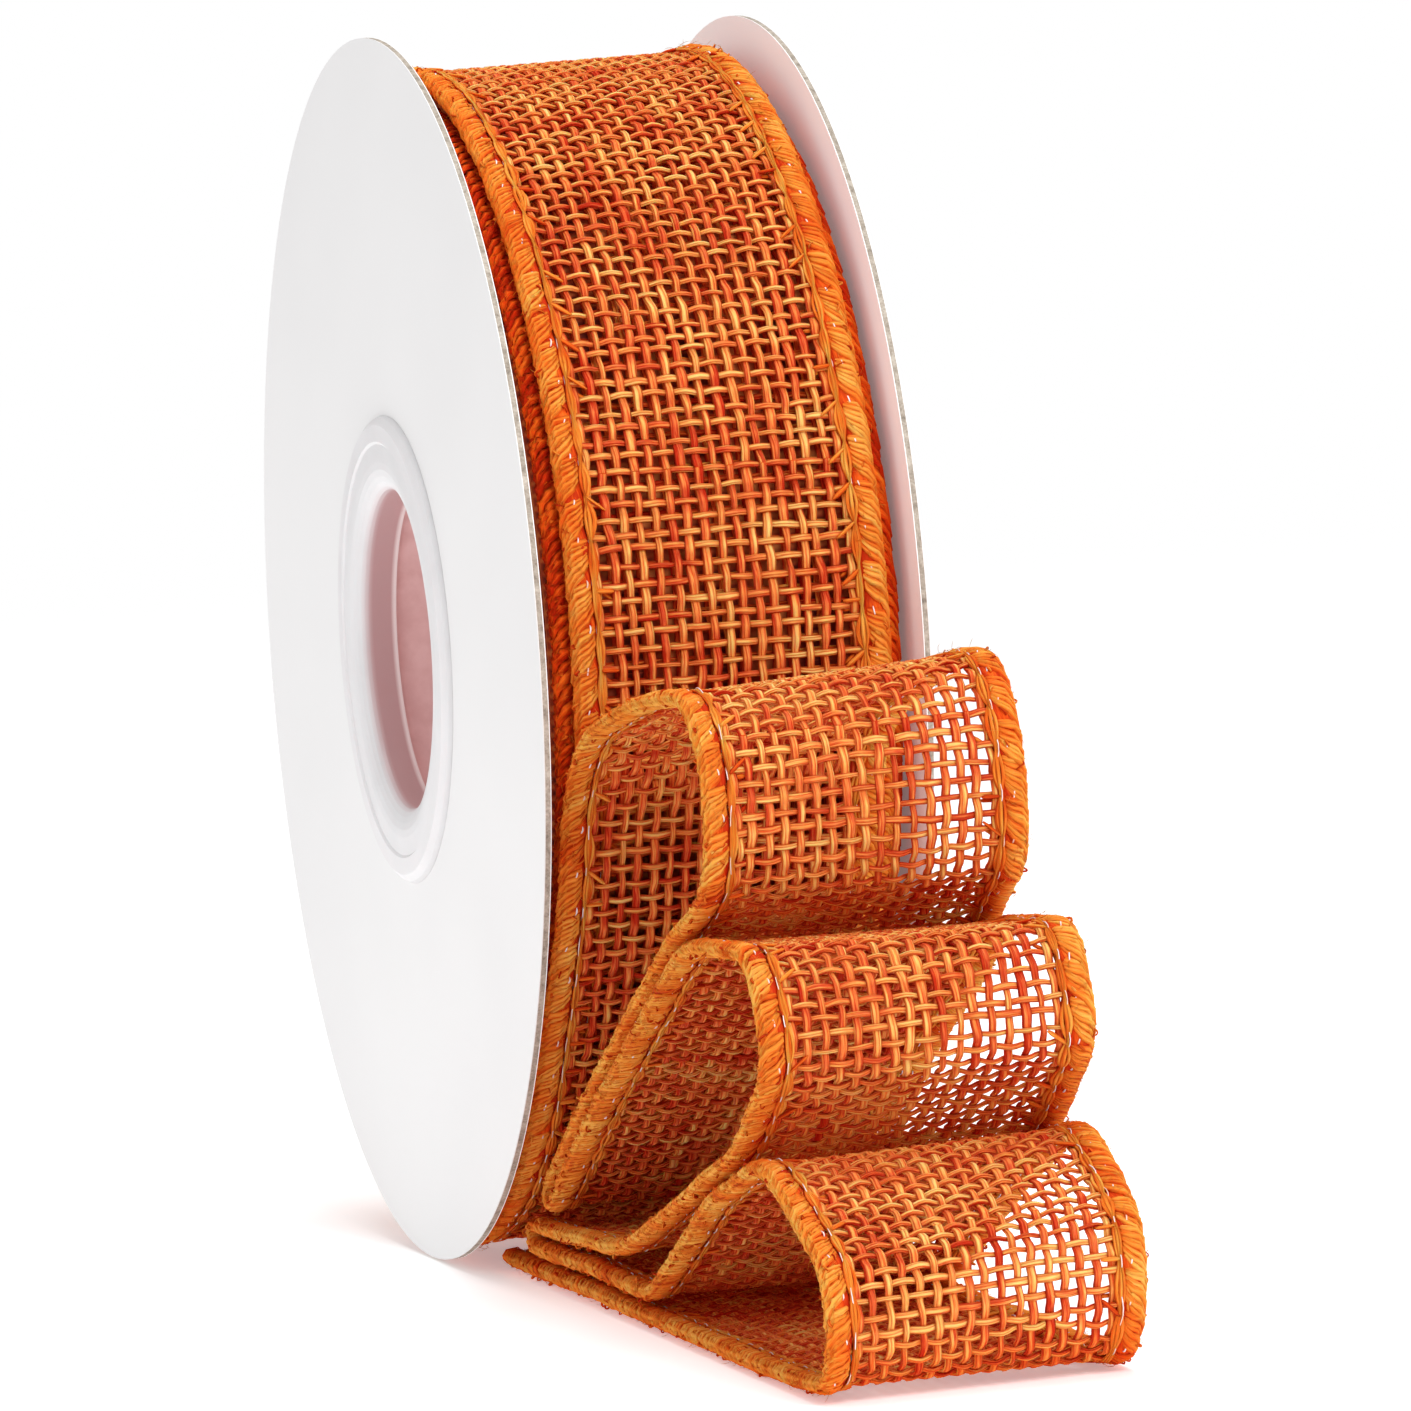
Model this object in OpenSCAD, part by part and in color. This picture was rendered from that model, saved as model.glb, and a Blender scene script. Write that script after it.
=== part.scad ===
// Ribbon spool: two laminated card flanges on a plastic hub, ten yards of
// wired burlap ribbon wound between them, and the loose tail of that ribbon
// folded into three loops in front of the spool.
//
// Frame: origin at the centre of the spindle bore. +X runs along the bore to
// the right-hand flange, +Z is up, and the tail lies on the -Y side. The spool
// stands on a surface at z = -flange_d / 2.

/* [Flanges] */
// Outside diameter of both flanges
flange_d = 146; // [146:0.5:150]
// Thickness of the grey card inside a flange
board_t = 0.6; // [0.5:0.1:1]
// Thickness of the white paper on each face of the card
liner_t = 0.1; // [0.1:0.05:0.2]
// Distance over the outer faces of the two flanges
spool_w = 46.2; // [45.8:0.1:50]

/* [Hub] */
// Diameter of the spindle bore
bore_d = 38.1; // [37:0.1:38.4]
// Diameter of the collar that holds a flange
collar_d = 56; // [54:0.5:60]
// How far a collar stands out from its flange
collar_h = 1.2; // [1:0.1:2]
// How far an end cap reaches in from the face of its flange
spigot_l = 4.2; // [3:0.1:8]
// Inside diameter of the core tube
core_id = 40.6; // [40.4:0.1:41]
// Outside diameter of the core tube
core_od = 44; // [43:0.5:46]

/* [Ribbon] */
// Width of the ribbon over both edges
ribbon_w = 38; // [36:0.5:38]
// Width of each overlocked edge
edge_w = 3.4; // [3:0.1:4]
// Thickness of the open weave
web_t = 0.9; // [0.7:0.1:1.2]
// Thickness of an overlocked edge
edge_t = 2.1; // [1.8:0.1:2.1]
// Side of the wire in each edge
wire_t = 0.5; // [0.4:0.1:0.6]
// Thickness of the clear lock thread
lock_t = 0.3; // [0.2:0.1:0.3]
// Diameter of the wound ribbon over its edges
wound_d = 138.6; // [120:0.2:138.6]

/* [Hidden] */
$fn = 144;
flange_r = flange_d / 2;
flange_t = board_t + 2 * liner_t;
side_x = spool_w / 2;            // outer face of the right flange
inner_x = side_x - flange_t;     // inner face of the right flange
bore_r = bore_d / 2;
core_ir = core_id / 2;
core_or = core_od / 2;
collar_r = collar_d / 2;
hole_clear = 0.1;                // hole in a flange round the spigot
wound_r = wound_d / 2;
web_drop = 0.7;                  // the weave lies lower than the wound edges
tape_t = 0.2;
tape_w = 30;
tape_arc = 50;
ribbon_x = 0.4;                  // the winding sits this far to the right
left_x = ribbon_x - ribbon_w / 2;
right_x = ribbon_x + ribbon_w / 2;
wire_inset = 1.1;                // from the ribbon's edge to the wire

// Side view of the tail from its free end, as [y, z, corner radius]. The free
// end lies under the roll; the ribbon runs forward on the surface, turns back
// over itself three times and then lies against the roll.
fold_r = 1.25;
TAIL = [
    [-16, -71.8, 0],
    [-171, -71.8, 6],
    [-168.5, -58.5, 10],
    [-146, -47.2, 18],
    [-118, -56, 60],
    [-88, -69.2, 20],
    [-29.8, -69.2, fold_r],
    [-29.8, -66.6, fold_r],
    [-74, -66.2, 60],
    [-133, -48.5, 40],
    [-152.5, -37, 6.5],
    [-147, -24.5, 7],
    [-119, -27.5, 25],
    [-40.2, -63.9, fold_r],
    [-39.11, -61.54, fold_r],
    [-131, -19, 9],
    [-127.5, 2.5, 12],
    [-71.5, -8.5, 20]
];
wrap_r = 70.7;                   // middle of the tail where it lies on the roll
wrap_top = -18;                  // angle at which it leaves the roll
wrap_end = -100;                 // angle at which it runs under the roll
arc_step = 10;
fold_step = 30;                  // the tight folds take fewer facets
wrap_step = 4;

function unit(v) = v / norm(v);
function cross2(a, b) = a[0] * b[1] - a[1] * b[0];
function turned(v, a) = [v[0] * cos(a) - v[1] * sin(a), v[0] * sin(a) + v[1] * cos(a)];
function xy(p) = [p[0], p[1]];
function on_roll(a) = [-wrap_r * cos(a), wrap_r * sin(a)];

// Points of one rounded corner b between its neighbours a and c.
function corner(a, b, c, r) =
    let (u = unit(a - b), v = unit(c - b),
         open = acos(u * v),
         reach = r / tan(open / 2),
         centre = b + unit(u + v) * r / sin(open / 2),
         first = b + u * reach - centre,
         side = sign(cross2(first, b + v * reach - centre)),
         n = ceil((180 - open) / (r <= fold_r ? fold_step : arc_step)))
    [for (i = [0 : n]) centre + turned(first, side * (180 - open) * i / n)];

// Middle line of the tail: straight runs, rounded corners, then the wrap.
ends = concat(TAIL, [concat(on_roll(wrap_top), 0)]);
loops = [for (i = [1 : len(ends) - 2])
             each corner(xy(ends[i - 1]), xy(ends[i]), xy(ends[i + 1]), ends[i][2])];
wrap = [for (a = [wrap_top : -wrap_step : wrap_end]) on_roll(a), on_roll(wrap_end)];
rounded = concat([xy(TAIL[0])], loops, wrap);
least_run = 0.2;                 // shorter runs, inside a fold, are left out
line = [for (i = [0 : len(rounded) - 1])
            if (i == 0 || norm(rounded[i] - rounded[i - 1]) > least_run) rounded[i]];

// The middle line moved sideways by d, with mitred joints.
function along(i) =
    i == 0 ? unit(line[1] - line[0]) :
    i == len(line) - 1 ? unit(line[i] - line[i - 1]) :
    unit(unit(line[i + 1] - line[i]) + unit(line[i] - line[i - 1]));
function mitre(i) =
    i == 0 || i == len(line) - 1 ? 1 : 1 / (along(i) * unit(line[i + 1] - line[i]));
function moved(d) = [for (i = [0 : len(line) - 1]) line[i] + turned(along(i), 90) * d * mitre(i)];
function back(pts) = [for (i = [len(pts) - 1 : -1 : 0]) pts[i]];

// The same points with both ends pushed outwards by e.
function longer(pts, e) = concat([pts[0] - along(0) * e],
    [for (i = [1 : len(pts) - 2]) pts[i]], [pts[len(pts) - 1] + along(len(pts) - 1) * e]);

// A strip of the tail between two depths in its thickness and two x places.
module strip(low, high, x0, x1, e = 0)
    translate([x0, 0, 0]) rotate([90, 0, 90]) linear_extrude(height = x1 - x0)
        polygon(concat(longer(moved(low), e), back(longer(moved(high), e))));

// A ring round the bore axis, from x0 to x1.
module ring(r_in, r_out, x0, x1)
    translate([x0, 0, 0]) rotate([0, 90, 0]) difference() {
        cylinder(r = r_out, h = x1 - x0);
        translate([0, 0, -1]) cylinder(r = r_in, h = x1 - x0 + 2);
    }

module flange_layer(x0, t) ring(core_ir + hole_clear, flange_r, x0, x0 + t);

// Half outline of an end cap: [radius, height over the face of its flange].
funnel_r = 3.4;
funnel_h = 1.75;
lip_h = 0.95;
CAP = concat(
    [[core_ir, 0], [collar_r, 0], [collar_r - 0.3, 0.6], [collar_r - 1.1, collar_h],
     [collar_r - 3.1, collar_h], [collar_r - 3.4, lip_h]],
    [for (a = [90 : -15 : 0]) [bore_r + funnel_r * (1 - cos(a)), lip_h - funnel_h * (1 - sin(a))]],
    [[bore_r, -spigot_l], [core_ir, -spigot_l]]);

module end_cap() color("gainsboro")
    translate([side_x, 0, 0]) rotate([0, 90, 0]) rotate_extrude() polygon(CAP);

module left_flange_board() color("tan") flange_layer(-side_x + liner_t, board_t);
module left_flange_outer_liner() color("white") flange_layer(-side_x, liner_t);
module left_flange_inner_liner() color("white") flange_layer(-inner_x - liner_t, liner_t);
module right_flange_board() color("tan") flange_layer(inner_x + liner_t, board_t);
module right_flange_outer_liner() color("white") flange_layer(side_x - liner_t, liner_t);
module right_flange_inner_liner() color("white") flange_layer(inner_x, liner_t);

module core_tube() color("whitesmoke") ring(core_ir, core_or, -inner_x, inner_x);
module left_end_cap() mirror([1, 0, 0]) end_cap();
module right_end_cap() end_cap();

// Tape that holds the start of the ribbon to the core tube.
module start_tape() color("lightyellow")
    translate([ribbon_x - tape_w / 2, 0, 0]) rotate([0, 90, 0])
        rotate_extrude(angle = tape_arc) translate([core_or, 0]) square([tape_t, tape_w]);

module wound_web() color("orangered")
    ring(core_or + tape_t, wound_r - web_drop, left_x + edge_w, right_x - edge_w);
module wound_left_edge() color("orange")
    ring(core_or + tape_t, wound_r, left_x, left_x + edge_w);
module wound_right_edge() color("orange")
    ring(core_or + tape_t, wound_r, right_x - edge_w, right_x);

module tail_web() color("orangered")
    strip(-web_t / 2, web_t / 2, left_x + edge_w + lock_t, right_x - edge_w - lock_t);

module wire_run(x0, e = 0) strip(-wire_t / 2, wire_t / 2, x0, x0 + wire_t, e);

// An overlocked edge is hollow where its wire lies.
module edge(x0, wire_x) color("orange") difference() {
    strip(-edge_t / 2, edge_t / 2, x0, x0 + edge_w);
    wire_run(wire_x, 1);
}
module tail_left_edge() edge(left_x, left_x + wire_inset);
module tail_right_edge() edge(right_x - edge_w, right_x - wire_inset - wire_t);
module tail_left_wire() color("dimgray") wire_run(left_x + wire_inset);
module tail_right_wire() color("dimgray") wire_run(right_x - wire_inset - wire_t);

// The lock thread stitches through the ribbon beside the edge and stands a
// little proud of both faces of the weave.
module lock_thread(x0) color("snow")
    strip(-web_t / 2 - lock_t, web_t / 2 + lock_t, x0, x0 + lock_t);
module tail_left_lock_thread() lock_thread(left_x + edge_w);
module tail_right_lock_thread() lock_thread(right_x - edge_w - lock_t);

left_flange_board();
left_flange_outer_liner();
left_flange_inner_liner();
right_flange_board();
right_flange_outer_liner();
right_flange_inner_liner();
core_tube();
left_end_cap();
right_end_cap();
start_tape();
wound_web();
wound_left_edge();
wound_right_edge();
tail_web();
tail_left_edge();
tail_right_edge();
tail_left_wire();
tail_right_wire();
tail_left_lock_thread();
tail_right_lock_thread();
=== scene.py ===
"""Looks of a spool of wired burlap ribbon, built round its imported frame.

The ribbon is woven yarn by yarn: warps and wefts are tubes carried over and under
each other on the surface that the ribbon follows. Its two edges are overlocked beads.
The board flanges, the plastic end caps and the core are the frame's own solids.
"""

import logging
from dataclasses import dataclass, field
from enum import Enum
from typing import Sequence

import bpy
import numpy as np
from mathutils import Matrix, Vector


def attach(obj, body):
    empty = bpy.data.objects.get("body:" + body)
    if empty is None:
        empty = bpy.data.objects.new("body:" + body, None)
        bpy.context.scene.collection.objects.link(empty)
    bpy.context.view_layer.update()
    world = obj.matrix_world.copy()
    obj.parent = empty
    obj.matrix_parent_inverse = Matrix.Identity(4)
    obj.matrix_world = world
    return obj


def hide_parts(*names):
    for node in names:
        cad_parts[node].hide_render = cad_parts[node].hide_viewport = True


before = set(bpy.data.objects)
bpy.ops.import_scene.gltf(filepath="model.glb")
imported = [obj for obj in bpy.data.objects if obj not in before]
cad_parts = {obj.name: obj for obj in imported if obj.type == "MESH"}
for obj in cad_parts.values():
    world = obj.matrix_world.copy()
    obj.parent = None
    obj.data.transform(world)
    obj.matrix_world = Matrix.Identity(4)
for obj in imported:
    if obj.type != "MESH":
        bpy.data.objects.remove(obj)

MM = 0.001
LOG = logging.getLogger("ribbon_spool")

Array = np.ndarray
Socket = bpy.types.NodeSocket

# The ribbon, in millimetres on the frame's axes: x across, y and z in the spool's plane.
RIBBON_LEFT = -18.6
RIBBON_RIGHT = 19.4
ROLL_RADIUS = 68.2
WRAP_RADIUS = 70.7
FLOOR_Z = -73.0

WHITE = (1.0, 1.0, 1.0)


class Side(Enum):
    """The two edges of the ribbon, by the flange they lie next to."""

    LEFT = -1
    RIGHT = 1


# ---------------------------------------------------------------- numbers and noise


def unit(v: Array) -> Array:
    """Each vector over its own length.

    Args:
        v: vectors in the last axis.

    Returns:
        The vectors at length 1.
    """
    return v / np.maximum(np.linalg.norm(v, axis=-1, keepdims=True), 1e-9)


def wander(rng: np.random.Generator, rows: int, count: int, every: float) -> Array:
    """Smooth noise along each of several yarns.

    Random values stand at knots, and a cosine eases from one to the next.

    Args:
        rng: the seeded source.
        rows: how many yarns.
        count: samples along each yarn.
        every: samples from knot to knot.

    Returns:
        An array of rows by count, with a spread of about 1.
    """
    knots = rng.normal(size=(rows, int(count / every) + 4))
    at = np.arange(count)[None, :] / every + rng.random((rows, 1))
    low = at.astype(int)
    ease = (1 - np.cos(np.pi * (at - low))) / 2
    first = np.take_along_axis(knots, low, axis=1)
    second = np.take_along_axis(knots, low + 1, axis=1)
    return first * (1 - ease) + second * ease


def varied(rng: np.random.Generator, rows: int) -> Array:
    """A normal random number for each row, as a column."""
    return rng.normal(size=(rows, 1))


# ---------------------------------------------------------------- meshes


@dataclass
class Tubes:
    """A batch of closed tubes of one make, as plain arrays.

    Attributes:
        points: vertices in millimetres.
        corners: vertex numbers, face after face.
        sizes: how many corners each face has.
        uv: for each corner, the turn round the tube and the millimetres along it.
        tint: for each vertex, where it stands on the finish's ramp.
    """

    points: Array
    corners: Array
    sizes: Array
    uv: Array
    tint: Array

    @staticmethod
    def joined(parts: Sequence["Tubes"]) -> "Tubes":
        """All the batches as one, with the vertex numbers moved along.

        Args:
            parts: the batches.

        Returns:
            One batch.
        """
        starts = np.cumsum([0] + [len(p.points) for p in parts[:-1]])
        return Tubes(
            np.concatenate([p.points for p in parts]),
            np.concatenate([p.corners + s for p, s in zip(parts, starts)]),
            np.concatenate([p.sizes for p in parts]),
            np.concatenate([p.uv for p in parts]),
            np.concatenate([p.tint for p in parts]),
        )


def sweep(
    centre: Array,
    up: Array,
    wide: Array,
    tall: Array,
    sides: int,
    tint: Array,
    taper: float = 0.45,
) -> Tubes:
    """Tubes of oval section carried along their centre lines.

    Point = centre + wide cos(a) side + tall sin(a) up, with a going once round and
    side square to the line and to up. The first and last rings are drawn in by taper
    and closed with a flat face.

    Args:
        centre: tubes by rings by 3, in millimetres.
        up: the direction of the section's height, the same shape.
        wide: half widths, tubes by rings.
        tall: half heights, tubes by rings.
        sides: points round a ring.
        tint: tubes by rings, or tubes by rings by sides.
        taper: size of the end rings.

    Returns:
        The tubes.
    """
    n, m, _ = centre.shape
    along = unit(np.gradient(centre, axis=1))
    side = unit(np.cross(up, along))
    up = np.cross(along, side)
    shrink = np.ones(m)
    shrink[[0, -1]] = taper
    turn = (np.arange(sides) + 0.5) / sides * 2 * np.pi - np.pi / 2
    w = (wide * shrink)[..., None, None] * np.cos(turn)[:, None]
    t = (tall * shrink)[..., None, None] * np.sin(turn)[:, None]
    points = centre[:, :, None] + w * side[:, :, None] + t * up[:, :, None]

    number = np.arange(n * m * sides).reshape(n, m, sides)
    after = np.roll(number, -1, axis=2)
    quads = np.stack([number[:, :-1], after[:, :-1], after[:, 1:], number[:, 1:]], axis=-1)
    caps = np.concatenate([number[:, 0, ::-1], number[:, -1]])
    length = np.concatenate(
        [np.zeros((n, 1)), np.cumsum(np.linalg.norm(np.diff(centre, axis=1), axis=2), axis=1)],
        axis=1,
    )
    u = np.arange(sides) / sides
    quad_u = np.broadcast_to(np.stack([u, u + 1 / sides, u + 1 / sides, u], -1), quads.shape)
    v = np.stack([length[:, :-1], length[:, :-1], length[:, 1:], length[:, 1:]], axis=-1)
    quad_v = np.broadcast_to(v[:, :, None], quads.shape)
    uv = np.concatenate(
        [np.stack([quad_u, quad_v], -1).reshape(-1, 2), np.zeros((caps.size, 2))]
    )
    if tint.ndim == 2:
        tint = np.broadcast_to(tint[..., None], (n, m, sides))
    return Tubes(
        points.reshape(-1, 3),
        np.concatenate([quads.ravel(), caps.ravel()]),
        np.concatenate([np.full(quads.size // 4, 4), np.full(2 * n, sides)]),
        uv,
        tint.reshape(-1).astype(float),
    )


def skin(points: Array, tint: Array, round_rows: bool, round_columns: bool) -> Tubes:
    """A grid of points as one surface of four-cornered faces.

    The grid may close on itself along its rows, its columns or both. The face's front
    is where rows cross columns.

    Args:
        points: rows by columns by 3, in millimetres.
        tint: rows by columns.
        round_rows: the last row joins the first.
        round_columns: the last column joins the first.

    Returns:
        The surface.
    """
    rows, columns, _ = points.shape
    number = np.arange(rows * columns).reshape(rows, columns)
    r = np.arange(rows if round_rows else rows - 1)
    c = np.arange(columns if round_columns else columns - 1)
    r0, c0 = np.meshgrid(r, c, indexing="ij")
    r1, c1 = (r0 + 1) % rows, (c0 + 1) % columns
    quads = np.stack([number[r0, c0], number[r1, c0], number[r1, c1], number[r0, c1]], -1)
    down = np.stack([r0, r0 + 1, r0 + 1, r0], -1) / rows
    over = np.stack([c0, c0, c0 + 1, c0 + 1], -1) / columns
    return Tubes(
        points.reshape(-1, 3),
        quads.ravel(),
        np.full(quads.size // 4, 4),
        np.stack([down, over], -1).reshape(-1, 2),
        tint.reshape(-1).astype(float),
    )


def piece(name: str, make: Tubes, finish: bpy.types.Material) -> bpy.types.Object:
    """An object at the origin with that mesh, in metres, smooth and with its finish.

    Args:
        name: the piece's name.
        make: its arrays.
        finish: its material.

    Returns:
        The object, linked to the scene.
    """
    mesh = bpy.data.meshes.new(name)
    mesh.vertices.add(len(make.points))
    mesh.vertices.foreach_set("co", (make.points * MM).astype(np.float32).ravel())
    mesh.loops.add(len(make.corners))
    mesh.loops.foreach_set("vertex_index", make.corners.astype(np.int32))
    mesh.polygons.add(len(make.sizes))
    starts = np.concatenate([[0], np.cumsum(make.sizes)[:-1]])
    mesh.polygons.foreach_set("loop_start", starts.astype(np.int32))
    mesh.update(calc_edges=True)
    mesh.polygons.foreach_set("use_smooth", np.ones(len(make.sizes), bool))
    mesh.uv_layers.new(name="fibre").data.foreach_set("uv", make.uv.astype(np.float32).ravel())
    tint = mesh.attributes.new("tint", "FLOAT", "POINT")
    tint.data.foreach_set("value", make.tint.astype(np.float32))
    mesh.validate()
    mesh.update()
    mesh.materials.append(finish)
    obj = bpy.data.objects.new(name, mesh)
    bpy.context.scene.collection.objects.link(obj)
    return obj


# ---------------------------------------------------------------- finishes


class Sheet:
    """A material's node tree being laid out: adds nodes and joins them."""

    def __init__(self, name: str) -> None:
        """Starts a material with its shader and output.

        Args:
            name: the material's name.
        """
        self.material = bpy.data.materials.new(name)
        self.material.use_nodes = True
        self.tree = self.material.node_tree
        self.shader = self.tree.nodes["Principled BSDF"]

    def add(self, kind: str, **values: object) -> bpy.types.Node:
        """A node of a kind, with its settings.

        Args:
            kind: the node's type without its ShaderNode prefix.
            values: properties of the node.

        Returns:
            The node.
        """
        node = self.tree.nodes.new("ShaderNode" + kind)
        for key, value in values.items():
            setattr(node, key, value)
        return node

    def join(self, out: Socket, into: Socket) -> None:
        """Joins an output to an input."""
        self.tree.links.new(out, into)

    def feed(self, value: object, into: Socket) -> None:
        """Joins an output to an input, or sets the input to a constant."""
        if isinstance(value, Socket):
            self.join(value, into)
        else:
            into.default_value = value

    def give(self, values: dict[str, object]) -> None:
        """Feeds the shader's inputs, each by its name."""
        for name, value in values.items():
            self.feed(value, self.shader.inputs[name])

    def place(self) -> Socket:
        """The object's own coordinates, in metres."""
        return self.add("TexCoord").outputs["Object"]

    def fibre(self) -> tuple[Socket, Socket]:
        """The piece's own two coordinates: round a tube and along it."""
        parts = self.add("SeparateXYZ")
        self.join(self.add("UVMap", uv_map="fibre").outputs[0], parts.inputs[0])
        return parts.outputs[0], parts.outputs[1]

    def math(self, what: str, a: object, b: object = 0.0, clamp: bool = False) -> Socket:
        """A Math node on two sockets or numbers.

        Args:
            what: the operation.
            a: a socket or a number.
            b: a socket or a number.
            clamp: keep the result from 0 to 1.

        Returns:
            The result's socket.
        """
        node = self.add("Math", operation=what, use_clamp=clamp)
        self.feed(a, node.inputs[0])
        self.feed(b, node.inputs[1])
        return node.outputs[0]

    def times(self, a: object, b: object, clamp: bool = False) -> Socket:
        """One times the other."""
        return self.math("MULTIPLY", a, b, clamp)

    def plus(self, a: object, b: object, clamp: bool = False) -> Socket:
        """One and the other."""
        return self.math("ADD", a, b, clamp)

    def less(self, a: object, b: object, clamp: bool = False) -> Socket:
        """One less the other."""
        return self.math("SUBTRACT", a, b, clamp)

    def ridge(self, by: Socket) -> Socket:
        """The sine's size: 0 wherever the angle is a whole number of half turns."""
        return self.math("ABSOLUTE", self.math("SINE", by))

    def noise(self, where: Socket, scale: float, detail: float = 2.0) -> Socket:
        """Noise at a place.

        Args:
            where: the coordinates.
            scale: the noise's scale.
            detail: its octaves.

        Returns:
            The noise, from 0 to 1.
        """
        node = self.add("TexNoise")
        node.inputs["Scale"].default_value = scale
        node.inputs["Detail"].default_value = detail
        self.join(where, node.inputs["Vector"])
        return node.outputs["Fac"]

    def ramp(self, by: Socket, stops: Sequence[tuple]) -> Socket:
        """A colour ramp.

        Args:
            by: what runs along it.
            stops: places and colours.

        Returns:
            The colour.
        """
        node = self.add("ValToRGB")
        marks = node.color_ramp.elements
        while len(marks) < len(stops):
            marks.new(0.5)
        for mark, (place, colour) in zip(marks, stops):
            mark.position = place
            mark.color = (*colour, 1.0)
        self.join(by, node.inputs[0])
        return node.outputs[0]

    def mix(self, share: object, a: object, b: object, how: str = "MIX") -> Socket:
        """A colour mix.

        Args:
            share: a socket or a number.
            a: a socket or a colour.
            b: a socket or a colour.
            how: the blend type.

        Returns:
            The mixed colour.
        """
        node = self.add("Mix", data_type="RGBA", blend_type=how)
        sockets = (node.inputs["Factor"], node.inputs[6], node.inputs[7])
        for value, socket in zip((share, a, b), sockets):
            self.feed((*value, 1.0) if isinstance(value, tuple) else value, socket)
        return node.outputs[2]

    def bump(self, height: Socket, depth: float, strength: float = 1.0) -> None:
        """Joins a bump of that depth, in metres, to the shader."""
        node = self.add("Bump")
        node.inputs["Strength"].default_value = strength
        node.inputs["Distance"].default_value = depth
        self.join(height, node.inputs["Height"])
        self.join(node.outputs[0], self.shader.inputs["Normal"])


@dataclass(frozen=True)
class YarnFinish:
    """A spun yarn: strands twisted together, dyed unevenly along their length, with
    painted shade in its creases, on its flanks and where cloth closes round it.

    Attributes:
        name: the material's name.
        stops: the dye's ramp, from light to deep.
        strands: strands round the yarn.
        twist: millimetres along the yarn for one turn of the strands.
        groove: depth of the groove between strands, in metres.
        fibre: fibres round the yarn.
        stretch: how quickly a fibre's dye changes along it, per millimetre.
        shade: how dark a groove is, as painted shade.
        sharp: how narrow that painted shade of a groove is.
        strand_dye: how far a strand's dye strays along the ramp.
        fibre_dye: how far a fibre's does.
        patch: how quickly a strand's dye changes, per metre.
        apart: how far the next strand's patches lie from this one's.
        crease: what the colour is multiplied by in the deepest crease, as painted shade.
        flank_shade: how much deeper the colour is on the yarn's flanks than on its faces, as
            painted shade.
        shut_shade: what the colour is multiplied by where cloth closes in all round, as
        painted shade for light that has been through other yarns by the time it gets there.
        reach: how near, in metres, that cloth is.
    """

    name: str
    stops: tuple
    strands: float = 5.0
    twist: float = 14.0
    groove: float = 0.0003
    fibre: float = 27.0
    stretch: float = 0.55
    shade: float = 0.75
    sharp: float = 1.6
    strand_dye: float = 1.7
    fibre_dye: float = 1.35
    patch: float = 160.0
    apart: tuple = (5.3, 2.9, 1.7)
    crease: tuple = (0.84, 0.12, 0.02)
    flank_shade: float = 0.26
    shut_shade: tuple = (1.0, 0.52, 0.24)
    reach: float = 0.010

    def build(self) -> bpy.types.Material:
        """Lays out the nodes.

        Turns = strands times the turn round plus the length over the twist. Each whole
        number of turns is one strand, with its own dye from slow noise, and the sine of
        a half turn is low in the crease between two strands. Fibres are noise stretched
        along the yarn.

        Returns:
            The material.
        """
        s = Sheet(self.name)
        around, along = s.fibre()
        turns = s.plus(s.times(around, self.strands), s.math("DIVIDE", along, self.twist))
        crease = s.ridge(s.times(turns, np.pi))
        number = s.math("FLOOR", turns)
        patch = s.add("VectorMath", operation="MULTIPLY_ADD")
        s.join(s.place(), patch.inputs[0])
        patch.inputs[1].default_value = (self.patch,) * 3
        apart = s.add("CombineXYZ")
        for socket, gap in zip(apart.inputs, self.apart):
            s.join(s.times(number, gap), socket)
        s.join(apart.outputs[0], patch.inputs[2])
        dye = s.noise(patch.outputs[0], 1.0, 1.0)
        strip = s.add("CombineXYZ")
        s.join(s.times(turns, self.fibre / self.strands), strip.inputs[0])
        s.join(s.times(along, self.stretch), strip.inputs[1])
        fibres = s.noise(strip.outputs[0], 1.0, 3.0)

        own = s.times(s.less(dye, 0.5), self.strand_dye)
        fine = s.times(s.less(fibres, 0.5), self.fibre_dye)
        # Painted shade: the colour is deeper on the yarn's flanks than on its faces.
        turned = s.plus(s.times(around, 2 * np.pi), np.pi / 6)
        flank_shade = s.times(s.math("POWER", s.ridge(turned), 2.0), self.flank_shade)
        tint = s.plus(s.add("Attribute", attribute_name="tint").outputs["Fac"], flank_shade)
        colour = s.ramp(s.plus(tint, s.plus(own, fine), clamp=True), self.stops)

        # Painted shade: in the crease between strands the colour is darkened towards the crease
        # colour, varied by the fibres.
        low = s.math("POWER", s.less(1.0, crease), self.sharp)
        crease_shade = s.less(1.0, s.times(low, self.shade))
        crease_shade_and_fibres = s.times(crease_shade, s.plus(s.times(fibres, 0.6), 0.68), clamp=True)
        colour = s.mix(1.0, colour, s.mix(crease_shade_and_fibres, self.crease, WHITE), "MULTIPLY")
        # Painted shade: where other cloth is near all round, the colour is multiplied towards a
        # deep red.
        shelter = s.add("AmbientOcclusion", samples=4)
        shelter.inputs["Distance"].default_value = self.reach
        shelter_shade = s.mix(shelter.outputs["AO"], self.shut_shade, WHITE)
        s.bump(s.plus(s.times(crease, 0.7), s.times(fibres, 0.6)), self.groove)
        s.give(
            {
                "Base Color": s.mix(1.0, colour, shelter_shade, "MULTIPLY"),
                "Roughness": 0.82,
                "Specular IOR Level": 0.03,
                "Sheen Weight": 0.04,
                "Sheen Roughness": 0.4,
                "Sheen Tint": (1.0, 0.5, 0.16, 1.0),
                "Subsurface Weight": 0.35,
                "Subsurface Radius": (1.0, 0.22, 0.06),
                "Subsurface Scale": 0.0009,
            }
        )
        return s.material


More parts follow.
